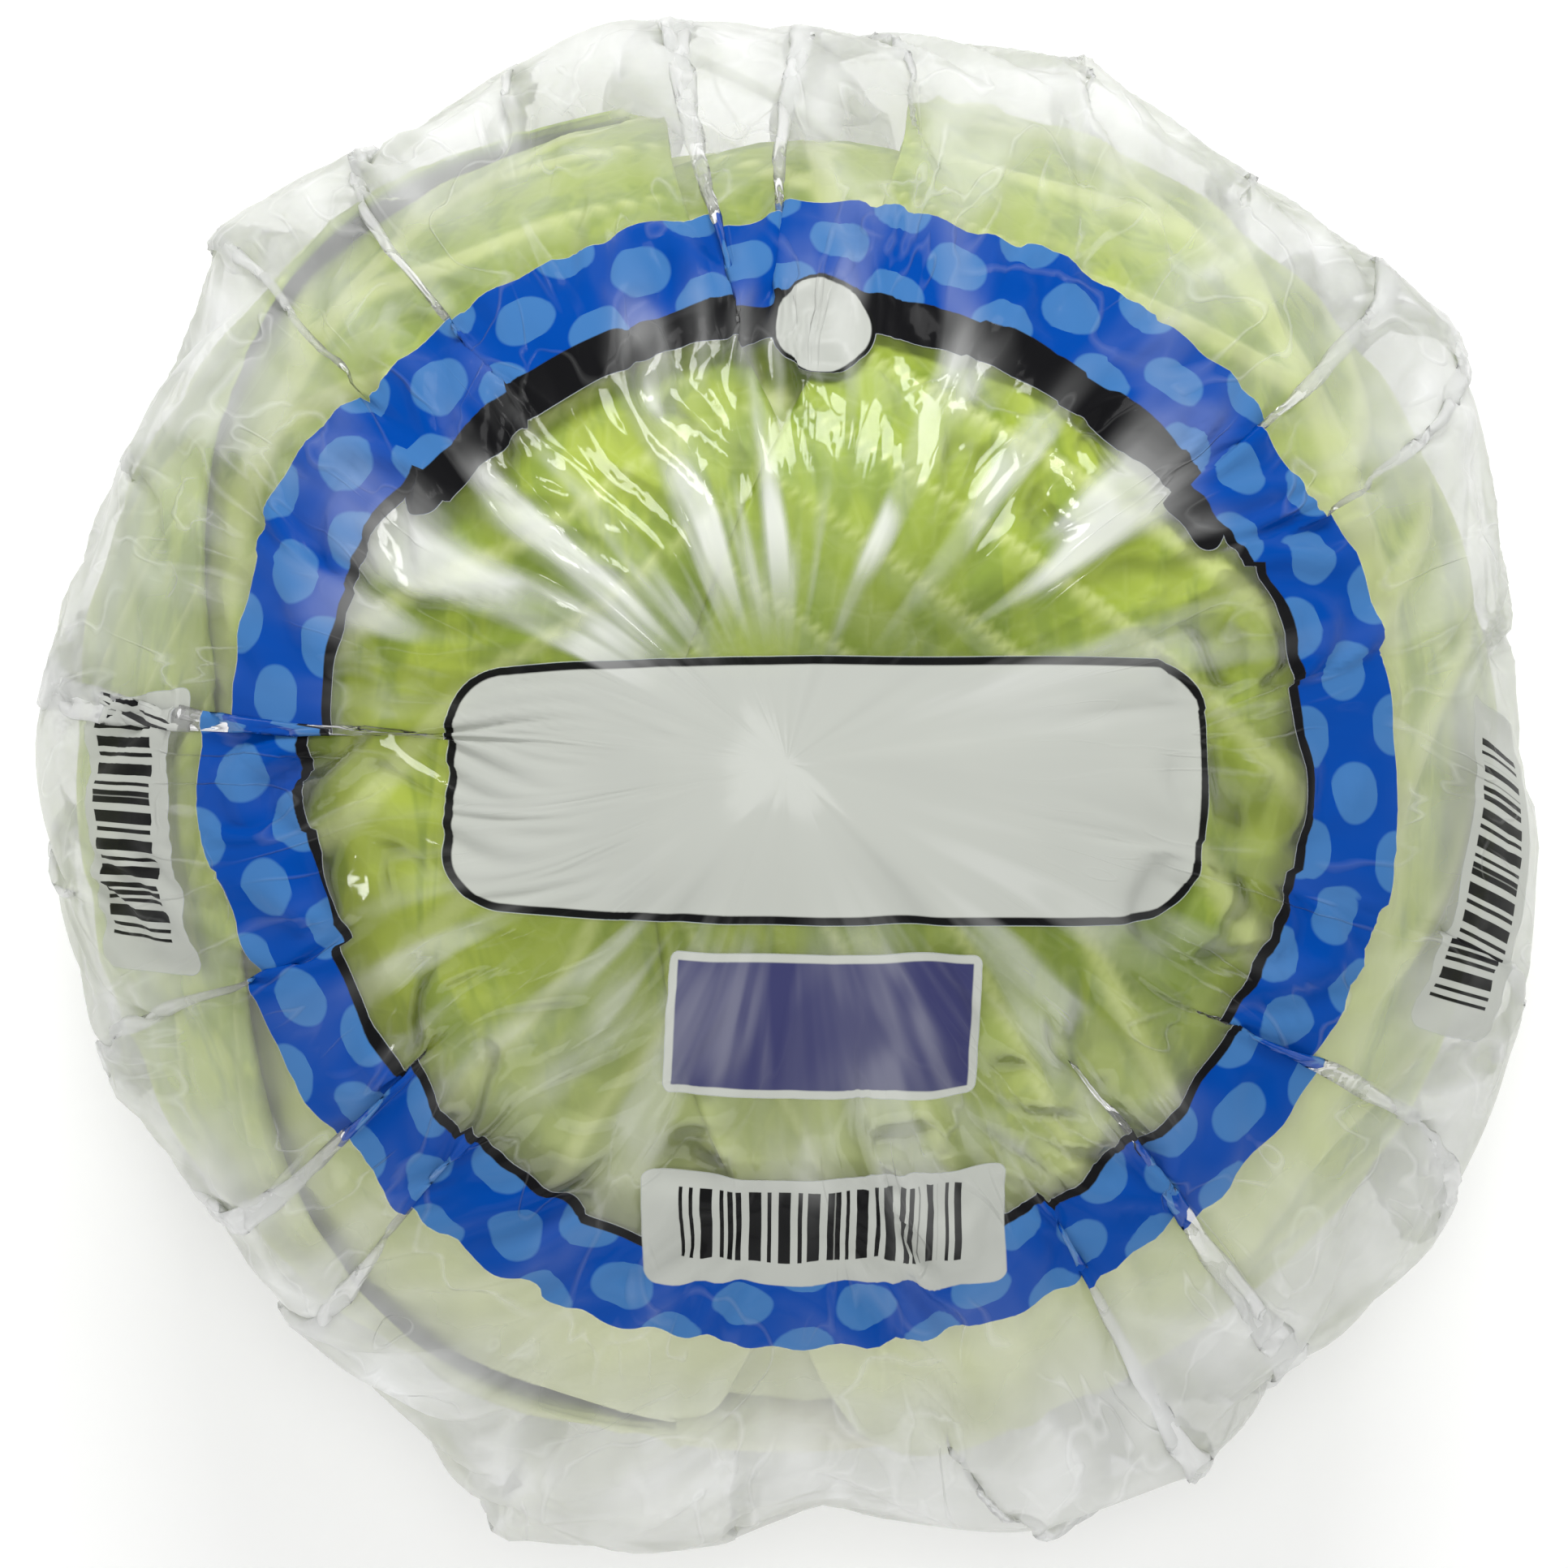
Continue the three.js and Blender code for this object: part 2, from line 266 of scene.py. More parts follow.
def direction_at(polar, turn):
    """The direction at an angle from +Z and a turn about it."""
    parts = np.sin(polar) * np.cos(turn), np.sin(polar) * np.sin(turn), np.cos(polar)
    return np.stack(np.broadcast_arrays(*parts), -1)


def smoothstep(x, low, high):
    t = np.clip((x - low) / (high - low), 0, 1)
    return t * t * (3 - 2 * t)


def head_reach(direction):
    """Distance from the head's middle to its outermost leaves."""
    return (np.abs(direction / HALF_SIZE) ** HEAD_POWER).sum(-1) ** (-1 / HEAD_POWER)


# Leaves


def make_leaf_plan(number):
    """What one wrapper leaf is: its layer and the three directions that it is laid out from."""
    layer, second = divmod(number - 1, 2)
    turn = math.radians(LAYER_TURNS[layer] + 180 * second)
    middle = math.radians((LEAF_START + LEAF_END) / 2)
    outward = np.array([math.cos(turn), 0, math.sin(turn)])
    crown = np.array([0, 1.0, 0])
    centre = outward * math.sin(middle) - crown * math.cos(middle)
    lengthwise = outward * math.cos(middle) + crown * math.sin(middle)
    return dict(
        number=number,
        layer=layer,
        depth=(len(LAYER_TURNS) - 1 - layer) * LAYER_PITCH,
        centre=centre,
        lengthwise=lengthwise,
        sideways=np.cross(lengthwise, centre),
    )


def leaf_half_width(along):
    swell = np.sin(math.pi * np.clip(along, 0, 1) ** LEAF_WIDEST) ** LEAF_ROUNDNESS
    return LEAF_FOOT_HALF_WIDTH + (LEAF_HALF_WIDTH - LEAF_FOOT_HALF_WIDTH) * swell


def leaf_direction(plan, u, v):
    """The direction from the head's middle of a place on a leaf, u across it and v along it."""
    distance = np.hypot(u, v) + TINY
    arc = (distance / LEAF_ARC_RADIUS)[..., None]
    way = (u / distance)[..., None] * plan["sideways"] + (v / distance)[..., None] * plan["lengthwise"]
    return np.cos(arc) * plan["centre"] + np.sin(arc) * way


def leaf_place(plan, direction):
    """The reverse of leaf_direction."""
    arc = np.arccos(np.clip(direction @ plan["centre"], -1, 1)) * LEAF_ARC_RADIUS
    side = direction @ plan["sideways"]
    length = direction @ plan["lengthwise"]
    size = np.hypot(side, length) + TINY
    return arc * side / size, arc * length / size


def ridge(distance, width):
    return np.exp(-((distance / width) ** 2))


def to_nearest(x, spacing):
    return np.abs(x - spacing * np.round(x / spacing))


def ripple(x, height, length, shift):
    return height * np.sin(x / length + shift)


def vein_course(v, side, slope, bend):
    """A number that is the same all along a vein, which leaves the rib at a slope and then bends."""
    return v - slope * side - bend * side**2


def fine_veins(v, side, warp, shift, spacing, course, rippling, width, share, start):
    line = to_nearest(vein_course(v, side, *course) + rippling * warp + shift, spacing)
    return share * ridge(line, width) * smoothstep(side, *start)


def leaf_veins(u, v, share, warp):
    """How far places on a leaf are a vein: one from the rib, a branch, or a fine crossing one."""
    side = np.abs(u)
    by_turns = np.where(u > 0, 0, VEIN_SPACING / 2)
    lateral = to_nearest(vein_course(v, side, *VEIN_COURSE) + warp + by_turns, VEIN_SPACING)
    inwards = 1 - share
    laterals = ridge(lateral, VEIN_WIDTH + VEIN_ROOT_WIDENING * inwards)
    laterals = laterals * (VEIN_TIP_SHARE + (1 - VEIN_TIP_SHARE) * inwards)
    branches = fine_veins(v, side, warp, 2 * by_turns / 3, **BRANCHES)
    crossings = fine_veins(v, side, warp, 0, **CROSSINGS)
    return np.clip(np.maximum(laterals, branches + crossings), 0, 1)


def leaf_relief(plan, u, v):
    """(height over the smooth outer face, how far it is a vein) at places on a leaf."""
    layer = plan["layer"]
    seed = plan["number"] * LEAF_VARIETY
    along = v / LEAF_LENGTH + 0.5
    share = np.clip(np.abs(u) / leaf_half_width(along), 0, 1)
    up = np.clip(1 - along, 0, 1)
    rib = ridge(u + ripple(v, *RIB_RIPPLE, seed), RIB_WIDTH + RIB_FOOT_WIDENING * up)
    warp = ripple(u, *ACROSS_RIPPLE, seed) + ripple(v, *ALONG_RIPPLE, 2 * seed)
    warp = warp + ripple(u + v, *ASKEW_RIPPLE, seed)
    veins = leaf_veins(u, v, share, warp)
    across, lengthwise = PUCKER_LENGTHS
    pucker = np.sin(u / across + warp / 2) * np.sin(v / lengthwise + warp / 3 + seed)
    wave = 0.5 + 0.5 * np.sin(math.tau * MARGIN_WAVES * along + plan["number"])
    height = (
        RIB_HEIGHT[layer] * (RIB_TIP_SHARE + (1 - RIB_TIP_SHARE) * up**RIB_TAPER) * rib
        + VEIN_HEIGHT[layer] * veins
        + PUCKER_HEIGHT[layer] * pucker * (1 - rib)
        + MARGIN_LIFT[layer] * wave * share**MARGIN_POWER
    )
    return height, np.maximum(veins, rib)


def on_head(direction, height):
    return HEAD_CENTRE + direction * (head_reach(direction) + height)[..., None]


# Meshes


def grid_faces(rows, columns, start, wraps, flip):
    """Quads over a grid of points, rows by columns of them, numbered from start."""
    index = np.arange(rows * columns).reshape(rows, columns) + start
    right = np.roll(index, -1, 1) if wraps else index[:, 1:]
    left = index if wraps else index[:, :-1]
    corners = [left[:-1], right[:-1], right[1:], left[1:]]
    return np.stack(corners[::-1] if flip else corners, -1).reshape(-1, 4)


def make_mesh(name, points, faces, material, values=None, flat_places=None):
    """A mesh from points in millimetres, with values at its points, riding on the root body."""
    mesh = bpy.data.meshes.new(name)
    mesh.from_pydata((points * METRES).tolist(), [], [list(face) for face in faces])
    mesh.polygons.foreach_set("use_smooth", np.full(len(mesh.polygons), True))
    for label, numbers in (values or {}).items():
        mesh.attributes.new(label, "FLOAT", "POINT").data.foreach_set("value", numbers.astype(np.float32))
    if flat_places is not None:
        corner_points = np.zeros(len(mesh.loops), np.int32)
        mesh.loops.foreach_get("vertex_index", corner_points)
        layer = mesh.uv_layers.new(name="flat")
        layer.data.foreach_set("uv", flat_places[corner_points].astype(np.float32).ravel())
    mesh.materials.append(material)
    mesh.validate()
    piece = bpy.data.objects.new(name, mesh)
    bpy.context.scene.collection.objects.link(piece)
    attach(piece, "root")
    return piece


# Materials


def fill(tree, node, values):
    """Fields or plain numbers on the first sockets of a node."""
    for socket, value in zip(node.inputs, values):
        if isinstance(value, Field):
            tree.links.new(value.socket, socket)
        else:
            socket.default_value = value


class Field:
    """A number that varies over a surface: an output of a shader node, with arithmetic."""

    def __init__(self, tree, socket):
        self.tree = tree
        self.socket = socket

    def maths(self, operation, *others, clamp=False):
        node = self.tree.nodes.new("ShaderNodeMath")
        node.operation = operation
        node.use_clamp = clamp
        fill(self.tree, node, (self, *others))
        return Field(self.tree, node.outputs[0])

    def __add__(self, other):
        return self.maths("ADD", other)

    def __sub__(self, other):
        return self.maths("SUBTRACT", other)

    def __mul__(self, other):
        return self.maths("MULTIPLY", other)

    def __truediv__(self, other):
        return self.maths("DIVIDE", other)

    def size(self):
        return self.maths("ABSOLUTE")

    def above(self, edge, soft=INK_EDGE):
        """0 below the edge and 1 above it, over a soft width."""
        return ((self - edge) / soft + 0.5).maths("ADD", 0.0, clamp=True)

    def below(self, edge, soft=INK_EDGE):
        return ((self - edge) / -soft + 0.5).maths("ADD", 0.0, clamp=True)

    def ramp(self, low, high):
        """0 at low, 1 at high, eased."""
        node = self.tree.nodes.new("ShaderNodeMapRange")
        node.interpolation_type = "SMOOTHSTEP"
        node.inputs["From Min"].default_value = low
        node.inputs["From Max"].default_value = high
        self.tree.links.new(self.socket, node.inputs["Value"])
        return Field(self.tree, node.outputs["Result"])

    def fading(self, share):
        """1 where the field is 0, and less by a share where it is 1."""
        return self * -share + 1.0


def length_of(x, y):
    return (x * x + y * y).maths("SQRT")


class Surface:
    """A node material under construction."""

    def __init__(self, name):
        self.material = bpy.data.materials.new(name)
        self.material.use_nodes = True
        self.tree = self.material.node_tree
        self.shader = self.tree.nodes["Principled BSDF"]
        self.output = self.tree.nodes["Material Output"]

    def node(self, kind, **settings):
        made = self.tree.nodes.new(kind)
        for key, value in settings.items():
            setattr(made, key, value)
        return made

    def field(self, socket):
        return Field(self.tree, socket)

    def link(self, source, target):
        """Joins a field or a socket to a socket, or to the one of that name on the main shader."""
        if isinstance(target, str):
            target = self.shader.inputs[target]
        self.tree.links.new(source.socket if isinstance(source, Field) else source, target)

    def attribute(self, name):
        return self.field(self.node("ShaderNodeAttribute", attribute_name=name).outputs["Fac"])

    def object_place(self):
        return self.node("ShaderNodeTexCoord").outputs["Object"]

    def split(self, place):
        node = self.node("ShaderNodeSeparateXYZ")
        self.link(place, node.inputs[0])
        return [self.field(part) for part in node.outputs]

    def vector(self, x, y, z):
        node = self.node("ShaderNodeCombineXYZ")
        fill(self.tree, node, (x, y, z))
        return node.outputs[0]

    def noise(self, place, scale, detail=3.0, roughness=0.5, distortion=0.0):
        node = self.node("ShaderNodeTexNoise")
        self.link(place, node.inputs["Vector"])
        node.inputs["Scale"].default_value = scale
        node.inputs["Detail"].default_value = detail
        node.inputs["Roughness"].default_value = roughness
        node.inputs["Distortion"].default_value = distortion
        return self.field(node.outputs["Fac"])

    def cells(self, place, scale):
        """Distance to the edges of irregular cells."""
        node = self.node("ShaderNodeTexVoronoi", feature="DISTANCE_TO_EDGE")
        self.link(place, node.inputs["Vector"])
        node.inputs["Scale"].default_value = scale
        return self.field(node.outputs["Distance"])

    def colour(self, value):
        if not isinstance(value, tuple):
            return value
        node = self.node("ShaderNodeRGB")
        node.outputs[0].default_value = (*value, 1)
        return node.outputs[0]

    def blend(self, amount, first, second):
        """The first colour turning into the second as amount goes from 0 to 1."""
        node = self.node("ShaderNodeMix", data_type="RGBA")
        self.link(amount, node.inputs["Factor"])
        self.link(self.colour(first), node.inputs[6])
        self.link(self.colour(second), node.inputs[7])
        return node.outputs[2]

    def bump(self, height, depth_mm, strength=1.0):
        node = self.node("ShaderNodeBump")
        node.inputs["Strength"].default_value = strength
        node.inputs["Distance"].default_value = depth_mm * METRES
        self.link(height, node.inputs["Height"])
        return node.outputs["Normal"]

    def mix_shaders(self, amount, first, second):
        """The first shader node giving way to the second as amount goes from 0 to 1."""
        node = self.node("ShaderNodeMixShader")
        for place, source in enumerate((amount, first.outputs[0], second.outputs[0])):
            self.link(source, node.inputs[place])
        return node


def make_leaf_material(name, green, pale):
    """Waxy leaf: mottled in two greens with darker strokes, pale veins, a fine net and a cream foot, with
    painted light brightening it towards the head's sides.
    """
    surface = Surface(name)
    place = surface.object_place()
    vein = surface.attribute("vein")
    along = surface.attribute("along")
    mottle = surface.noise(place, scale=34, detail=4, roughness=0.6)
    broad = surface.noise(place, scale=12, detail=2)
    net = surface.cells(place, scale=260).below(0.06, soft=0.10)
    colour = surface.blend((mottle * 0.7 + broad * 0.6).ramp(0.45, 0.82), green, pale)
    x, y, z = surface.split(place)
    # Painted light: a brighter green towards the head's sides, seen from above, standing in for light that
    # the milky film passes onto the leaves
    aside = length_of(x, y).ramp(*(radius * METRES for radius in PAINTED_LIGHT_SIDES))
    colour = surface.blend(aside * 0.45, colour, LEAF_PAINTED_LIGHT)
    stretched = surface.vector(*(part * scale for part, scale in zip((x, y, z), STROKE_SCALES)))
    strokes = surface.noise(stretched, scale=1.0, detail=3.0, roughness=0.6, distortion=0.5)
    colour = surface.blend(strokes.ramp(0.46, 0.60) * 0.55, colour, LEAF_DARK)
    colour = surface.blend(net * 0.08, colour, VEIN_PALE)
    colour = surface.blend(vein.ramp(0.08, 0.75) * 0.85, colour, VEIN_PALE)
    towards_foot = (along + (broad - 0.5) * 0.25) * -1.0
    colour = surface.blend(towards_foot.ramp(-0.42, -0.05), colour, LEAF_FOOT)
    surface.link(colour, "Base Color")
    surface.link(mottle * 0.2 + 0.36, "Roughness")
    grain = net * 0.15 + surface.noise(place, scale=420, detail=3) * 0.5 + vein * 0.2
    surface.link(surface.bump(grain, depth_mm=0.25, strength=0.5), "Normal")
    return surface.material


def make_stem_material():
    """Moist cut stem: a creamy pith in blotches, with darker fibres."""
    surface = Surface("stem_cut")
    place = surface.object_place()
    fibres = surface.noise(place, scale=600, detail=4, roughness=0.7)
    blotch = surface.noise(place, scale=90, detail=3)
    colour = surface.blend(blotch.ramp(0.35, 0.7), STEM_CREAM, LEAF_FOOT)
    colour = surface.blend(fibres.ramp(0.5, 0.75) * 0.35, colour, STEM_FIBRE)
    surface.link(colour, "Base Color")
    surface.shader.inputs["Roughness"].default_value = 0.55
    surface.link(surface.bump(fibres, depth_mm=0.3, strength=0.6), "Normal")
    return surface.material


def box_distance(x, y, middle, half, corner, turn=0):
    """Distance outside a rectangle with round corners, below 0 inside it, and the place across and up."""
    c, s = math.cos(math.radians(turn)), math.sin(math.radians(turn))
    across = (x - middle[0]) * c + (y - middle[1]) * s
    up = (y - middle[1]) * c - (x - middle[0]) * s
    a = (across.size() - (half[0] - corner)).maths("MAXIMUM", 0.0)
    b = (up.size() - (half[1] - corner)).maths("MAXIMUM", 0.0)
    return length_of(a, b) - corner, across, up


def bar_stripes(across, up):
    """Plain stripes of uneven width that stand for nothing."""
    first, second, third = STRIPE_WAVES
    sway = (across * first).maths("SINE") + (across * second + 1.0).maths("SINE")
    sway = sway + (across * third + 2.0).maths("SINE")
    half_width, half_height = STRIPES_HALF
    wide = across.size().below(half_width, STRIPE_EDGE)
    high = (up - STRIPES_UP).size().below(half_height, STRIPE_EDGE)
    return sway.above(0.15, soft=0.25) * wide * high


def ring_dots(x, y, radius):
    """Dots of the ring, in rows that stand between those of their neighbours."""
    row = ((radius - FIRST_DOT_ROW) / DOT_ROW + 0.5).maths("FLOOR")
    step = y.maths("ARCTAN2", x) * (DOTS_ROUND / math.tau) + row * 0.5
    aside = (step.maths("FRACT") - 0.5) * (math.tau / DOTS_ROUND) * radius
    outward = radius - FIRST_DOT_ROW - row * DOT_ROW
    return length_of(aside, outward).below(DOT_RADIUS, DOT_EDGE)


def banner(x, y):
    """The dark band inside the ring's upper part, with round ends."""
    low, high = (math.radians(turn) for turn in BANNER_TURNS)
    held = y.maths("ARCTAN2", x).maths("MAXIMUM", low).maths("MINIMUM", high)
    aside = x - held.maths("COSINE") * BANNER_RADIUS
    outward = y - held.maths("SINE") * BANNER_RADIUS
    return length_of(aside, outward).below(BANNER_HALF_WIDTH)


def print_on_film(surface, x, y):
    """(colour, cover) of the ink at places on the flat film."""
    radius = length_of(x, y)
    ring = radius.above(RING[0]) * radius.below(RING[1])
    colour = surface.blend(ring_dots(x, y, radius), BLUE, DOT_BLUE)
    line = radius.above(RING_LINE[0]) * radius.below(RING_LINE[1])
    black = line.maths("MAXIMUM", banner(x, y))
    colour = surface.blend(black, colour, INK_BLACK)
    cover = (ring * INK_COVER["ring"]).maths("MAXIMUM", black * INK_COVER["black"])
    disc = length_of(x - DISC_MIDDLE[0], y - DISC_MIDDLE[1])
    name_panel = box_distance(x, y, **NAME_PANEL)[0]
    small_panel = box_distance(x, y, **SMALL_PANEL)[0]
    shapes = [
        (disc.below(DISC_RADIUS + DISC_LINE), INK_BLACK, "disc_line"),
        (disc.below(DISC_RADIUS), INK_WHITE, "disc"),
        (name_panel.below(0.0), INK_BLACK, "black"),
        (name_panel.below(-OUTLINE), INK_WHITE, "white"),
        (small_panel.below(0.0), INK_WHITE, "white"),
        (small_panel.below(-OUTLINE), PANEL_BLUE, "blue_panel"),
    ]
    for patch in BAR_PATCHES:
        outside, across, up = box_distance(x, y, **patch)
        shapes += [
            (outside.below(0.0), INK_WHITE, "white"),
            (bar_stripes(across, up), INK_BLACK, "stripes"),
        ]
    for shape, ink, kind in shapes:
        colour = surface.blend(shape, colour, ink)
        cover = cover * shape.fading(1.0) + shape * INK_COVER[kind]
    return colour, cover


def film_marks(surface, flat_x, flat_y, radius, upwards):
    """(streaks drawn outwards from the top, fine creases, painted haze of light) of the film."""
    aside = flat_x / radius
    rounded = surface.vector(aside * STREAKS_ROUND, upwards * STREAKS_ROUND, radius * STREAKS_OUTWARDS)
    streaks = surface.noise(rounded, scale=1.25, detail=1.5, roughness=0.5)
    askew = surface.vector(flat_x * 0.035 + flat_y * 0.012, flat_y * 0.035 - flat_x * 0.02, streaks * 0.8)
    patches = surface.noise(askew, scale=1.7, detail=1.0)
    wisps = (surface.noise(rounded, scale=1.0, detail=2.0, roughness=0.55, distortion=0.8) - 0.5).size()
    wisps = wisps.below(0.008, soft=0.03) * patches.ramp(0.42, 0.62)
    slants = (surface.noise(askew, scale=1.0, detail=1.5, roughness=0.5, distortion=0.6) - 0.5).size()
    slants = slants.below(0.004, soft=0.016) * patches.ramp(0.60, 0.44)
    creases = (wisps + slants) * radius.ramp(*CREASES_START)
    broad = surface.noise(rounded, scale=0.75, detail=1.0, roughness=0.5)
    lit = upwards.ramp(-0.15, 0.65) + upwards.ramp(0.1, -0.6) * 0.45
    lit = lit * radius.ramp(*GLARE_STARTS) * radius.ramp(*GLARE_FADES).fading(0.75)
    painted_glare = (broad * 0.6 + streaks * 0.4).ramp(0.46, 0.61) * lit * (patches.ramp(0.38, 0.56) * 0.75 + 0.25)
    return streaks, creases, painted_glare


def make_film_material():
    """Clear film with a print and a gloss: milky where it is loose, with streaks, creases and a painted
    glare.
    """
    surface = Surface("printed_film")
    uv = surface.node("ShaderNodeUVMap", uv_map="flat").outputs["UV"]
    flat_x, flat_y = (part * (2 * FILM_RADIUS) - FILM_RADIUS for part in surface.split(uv)[:2])
    colour, cover = print_on_film(surface, flat_x - PRINT_CENTRE[0], flat_y - PRINT_CENTRE[1])
    radius = length_of(flat_x, flat_y)
    upwards = flat_y / radius
    loose = radius.ramp(*LOOSE_START)
    streaks, creases, painted_glare = film_marks(surface, flat_x, flat_y, radius, upwards)

    # The film's body: see-through, as far as neither ink nor milk covers it; a painted glare, brightest over
    # the top, also whitens it and makes it less see-through
    milk = surface.attribute("milk") * (streaks * 1.5 + 0.3) + creases * 0.20 + painted_glare * 0.60
    # Painted glare whitens the ink and the bare film
    inked_with_painted_glare = surface.blend(painted_glare * 0.30 + creases * 0.06, colour, GLARE_WHITE)
    bare_with_painted_glare = surface.blend(painted_glare, FILM_WHITE, GLARE_WHITE)
    surface.link(surface.blend(cover.ramp(0.3, 0.85), bare_with_painted_glare, inked_with_painted_glare), "Base Color")
    surface.shader.inputs["Roughness"].default_value = 0.3
    surface.shader.inputs["Specular IOR Level"].default_value = 0.02
    tight_part = upwards.ramp(-0.3, 0.8) * radius.ramp(*TIGHT_STREAKS_START) * 0.75
    drawn = tight_part + radius.ramp(*LOOSE_STREAKS_START) * 0.25
    normal = surface.bump(streaks * drawn + creases * 0.10, depth_mm=FILM_BUMP)
    surface.link(normal, "Normal")
    clear = surface.node("ShaderNodeBsdfTransparent")
    alpha = cover.maths("MAXIMUM", milk).maths("MINIMUM", MOST_OPAQUE)
    body = surface.mix_shaders(alpha, clear, surface.shader)

    # The gloss over it: weaker on ink, and weaker and rougher where the film is loose
    gloss = surface.node("ShaderNodeBsdfGlossy")
    surface.link(loose * 0.24 + 0.10, gloss.inputs["Roughness"])
    surface.link(normal, gloss.inputs["Normal"])
    sheen = surface.node("ShaderNodeFresnel")
    sheen.inputs["IOR"].default_value = FILM_IOR
    surface.link(normal, sheen.inputs["Normal"])
    shine = surface.field(sheen.outputs[0]) * cover.fading(0.94) * loose.fading(0.75)
    whole = surface.mix_shaders(shine, body, gloss)
    surface.link(whole.outputs[0], surface.output.inputs["Surface"])
    return surface.material


# Pieces


def make_leaf(number, material):
    """One wrapper leaf with its ribs and veins raised, as a closed thin blade."""
    plan = make_leaf_plan(number)
    cells = LEAF_GRID[plan["layer"]]
    along, share = np.meshgrid(np.linspace(0, 1, cells + 1), np.linspace(-1, 1, cells + 1), indexing="ij")
    u = share * leaf_half_width(along)
    v = (along - 0.5) * LEAF_LENGTH
    direction = leaf_direction(plan, u, v)
    height, vein = leaf_relief(plan, u, v)
    outer = on_head(direction, height - plan["depth"])
    outer[..., 2] = np.maximum(outer[..., 2], LOWEST_LEAF)
    thin = LEAF_THICKNESS * (1 - LEAF_RIM_THINNING * smoothstep(np.abs(share), *LEAF_RIM))
    inner = on_head(direction, np.minimum(height, INNER_RELIEF) - plan["depth"] - thin)
    points = np.concatenate([outer.reshape(-1, 3), inner.reshape(-1, 3)])
    side = cells + 1
    index = np.arange(side * side).reshape(side, side)
    rim = np.concatenate([index[0], index[1:, -1], index[-1, -2::-1], index[-2:0:-1, 0]])
    after = np.roll(rim, -1)
    faces = np.concatenate(
        [
            grid_faces(side, side, 0, False, False),
            grid_faces(side, side, side * side, False, True),
            np.stack([after, rim, rim + side * side, after + side * side], -1),
        ]
    )
    values = {"vein": np.tile(vein.ravel(), 2), "along": np.tile(along.ravel(), 2)}
    leaf = make_mesh(f"leaf_{number}", points, faces, material, values)
    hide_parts(f"wrapper_leaf_{number}")


def closed_faces(rows, columns):
    """Quads round a grid that wraps, and a flat face over each end."""
    ends = [list(range(columns))[::-1], list(range((rows - 1) * columns, rows * columns))]
    return grid_faces(rows, columns, 0, True, False).tolist() + ends


def make_heart(material):
    """The dense heart: overlapping folds from stem to crown, with faint veins."""
    rows, columns = HEART_GRID
    polar = np.radians(np.linspace(HEART_POLE, 180 - HEART_POLE, rows))[:, None]
    turn = np.arange(columns)[None] * math.tau / columns
    direction = direction_at(polar, turn)[..., [0, 2, 1]]
    waist = np.sin(polar) ** 2
    fold = HEART_FOLD_DEPTH * waist * (0.5 + 0.5 * np.sin(HEART_FOLDS * turn + 3 * np.cos(polar)))
    vein = to_nearest(turn * 60 + 9 * np.sin(3 * polar), HEART_VEINS["spacing"])
    veins = ridge(vein, HEART_VEINS["width"]) * waist
    points = on_head(direction, HEART_VEINS["height"] * veins - HEART_DEPTH - fold)
    points[..., 1] = np.maximum(points[..., 1], HEART_FLAT_Y)
    along = np.repeat((1 + np.cos(polar)) / 2, columns, 1)
    values = {"vein": veins.ravel(), "along": along.ravel()}
    heart = make_mesh("heart_leaves", points.reshape(-1, 3), closed_faces(rows, columns), material, values)
    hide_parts("heart")


def make_stem(material):
    """The cut butt: an uneven round stump with a sliced face."""
    turn = np.arange(STEM_COLUMNS) * math.tau / STEM_COLUMNS
    uneven = STEM_RADIUS * (1 + 0.03 * np.sin(3 * turn) + 0.02 * np.sin(7 * turn + 1))
    start, end = STEM_ENDS
    rings = [(0.1, start), (0.9, start), (1, start - 1)]
    rings += [(1, end + 1.6), (0.94, end + 0.5), (0.7, end + 0.1), (0.1, end)]
    points = [
        np.stack([share * uneven * np.cos(turn), np.full(STEM_COLUMNS, y), share * uneven * np.sin(turn)], -1)
        for share, y in rings
    ]
    points = np.concatenate(points) + HEAD_CENTRE
    stem = make_mesh("stem_butt", points, closed_faces(len(rings), STEM_COLUMNS), material)
    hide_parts("stem")


# The film's shape


def film_radii():
    """Radius on the flat film of each row of its points."""
    return np.linspace(0, FILM_RADIUS, FILM_ROWS + 1)


def fold_columns():
    """Where the folds are as shares of a turn, their widths, starts and print steps."""
    where, width, start, step = (np.array(column, float) for column in zip(*FOLDS))
    return where / 360, width, start, step


def film_reach(turn):
    """Reach of the loose film's edge from the head's middle, by degrees, straight between its corners."""
    angles, reaches = (np.array(column, float) for column in zip(*FILM_CORNERS))
    after = np.searchsorted(angles, turn, side="right") % len(angles)
    before = (after - 1) % len(angles)
    ahead = np.radians((angles[after] - turn) % 360)
    behind = np.radians((turn - angles[before]) % 360)
    across = reaches[after] * np.sin(ahead) + reaches[before] * np.sin(behind)
    return reaches[after] * reaches[before] * np.sin(ahead + behind) / across


def head_height_map(plans):
    """How high the leaves stand over the smooth head, by degrees from +Z and of turn, without steps."""
    direction = direction_at(np.radians(np.arange(181))[:, None], np.radians(np.arange(360)))
    highest = np.full(direction.shape[:2], -LAYER_PITCH)
    for plan in plans:
        u, v = leaf_place(plan, direction)
        along = v / LEAF_LENGTH + 0.5
        inside = (along > 0) & (along < 1) & (np.abs(u) < leaf_half_width(along))
        height = leaf_relief(plan, u, v)[0] - plan["depth"]
        highest = np.where(inside, np.maximum(highest, height), highest)
    for axis in (0, 1):
        highest = np.maximum(highest, np.maximum(np.roll(highest, 1, axis), np.roll(highest, -1, axis)))
    for axis in (0, 1):
        highest = (highest + np.roll(highest, 1, axis) + np.roll(highest, -1, axis)) / 3
    return highest


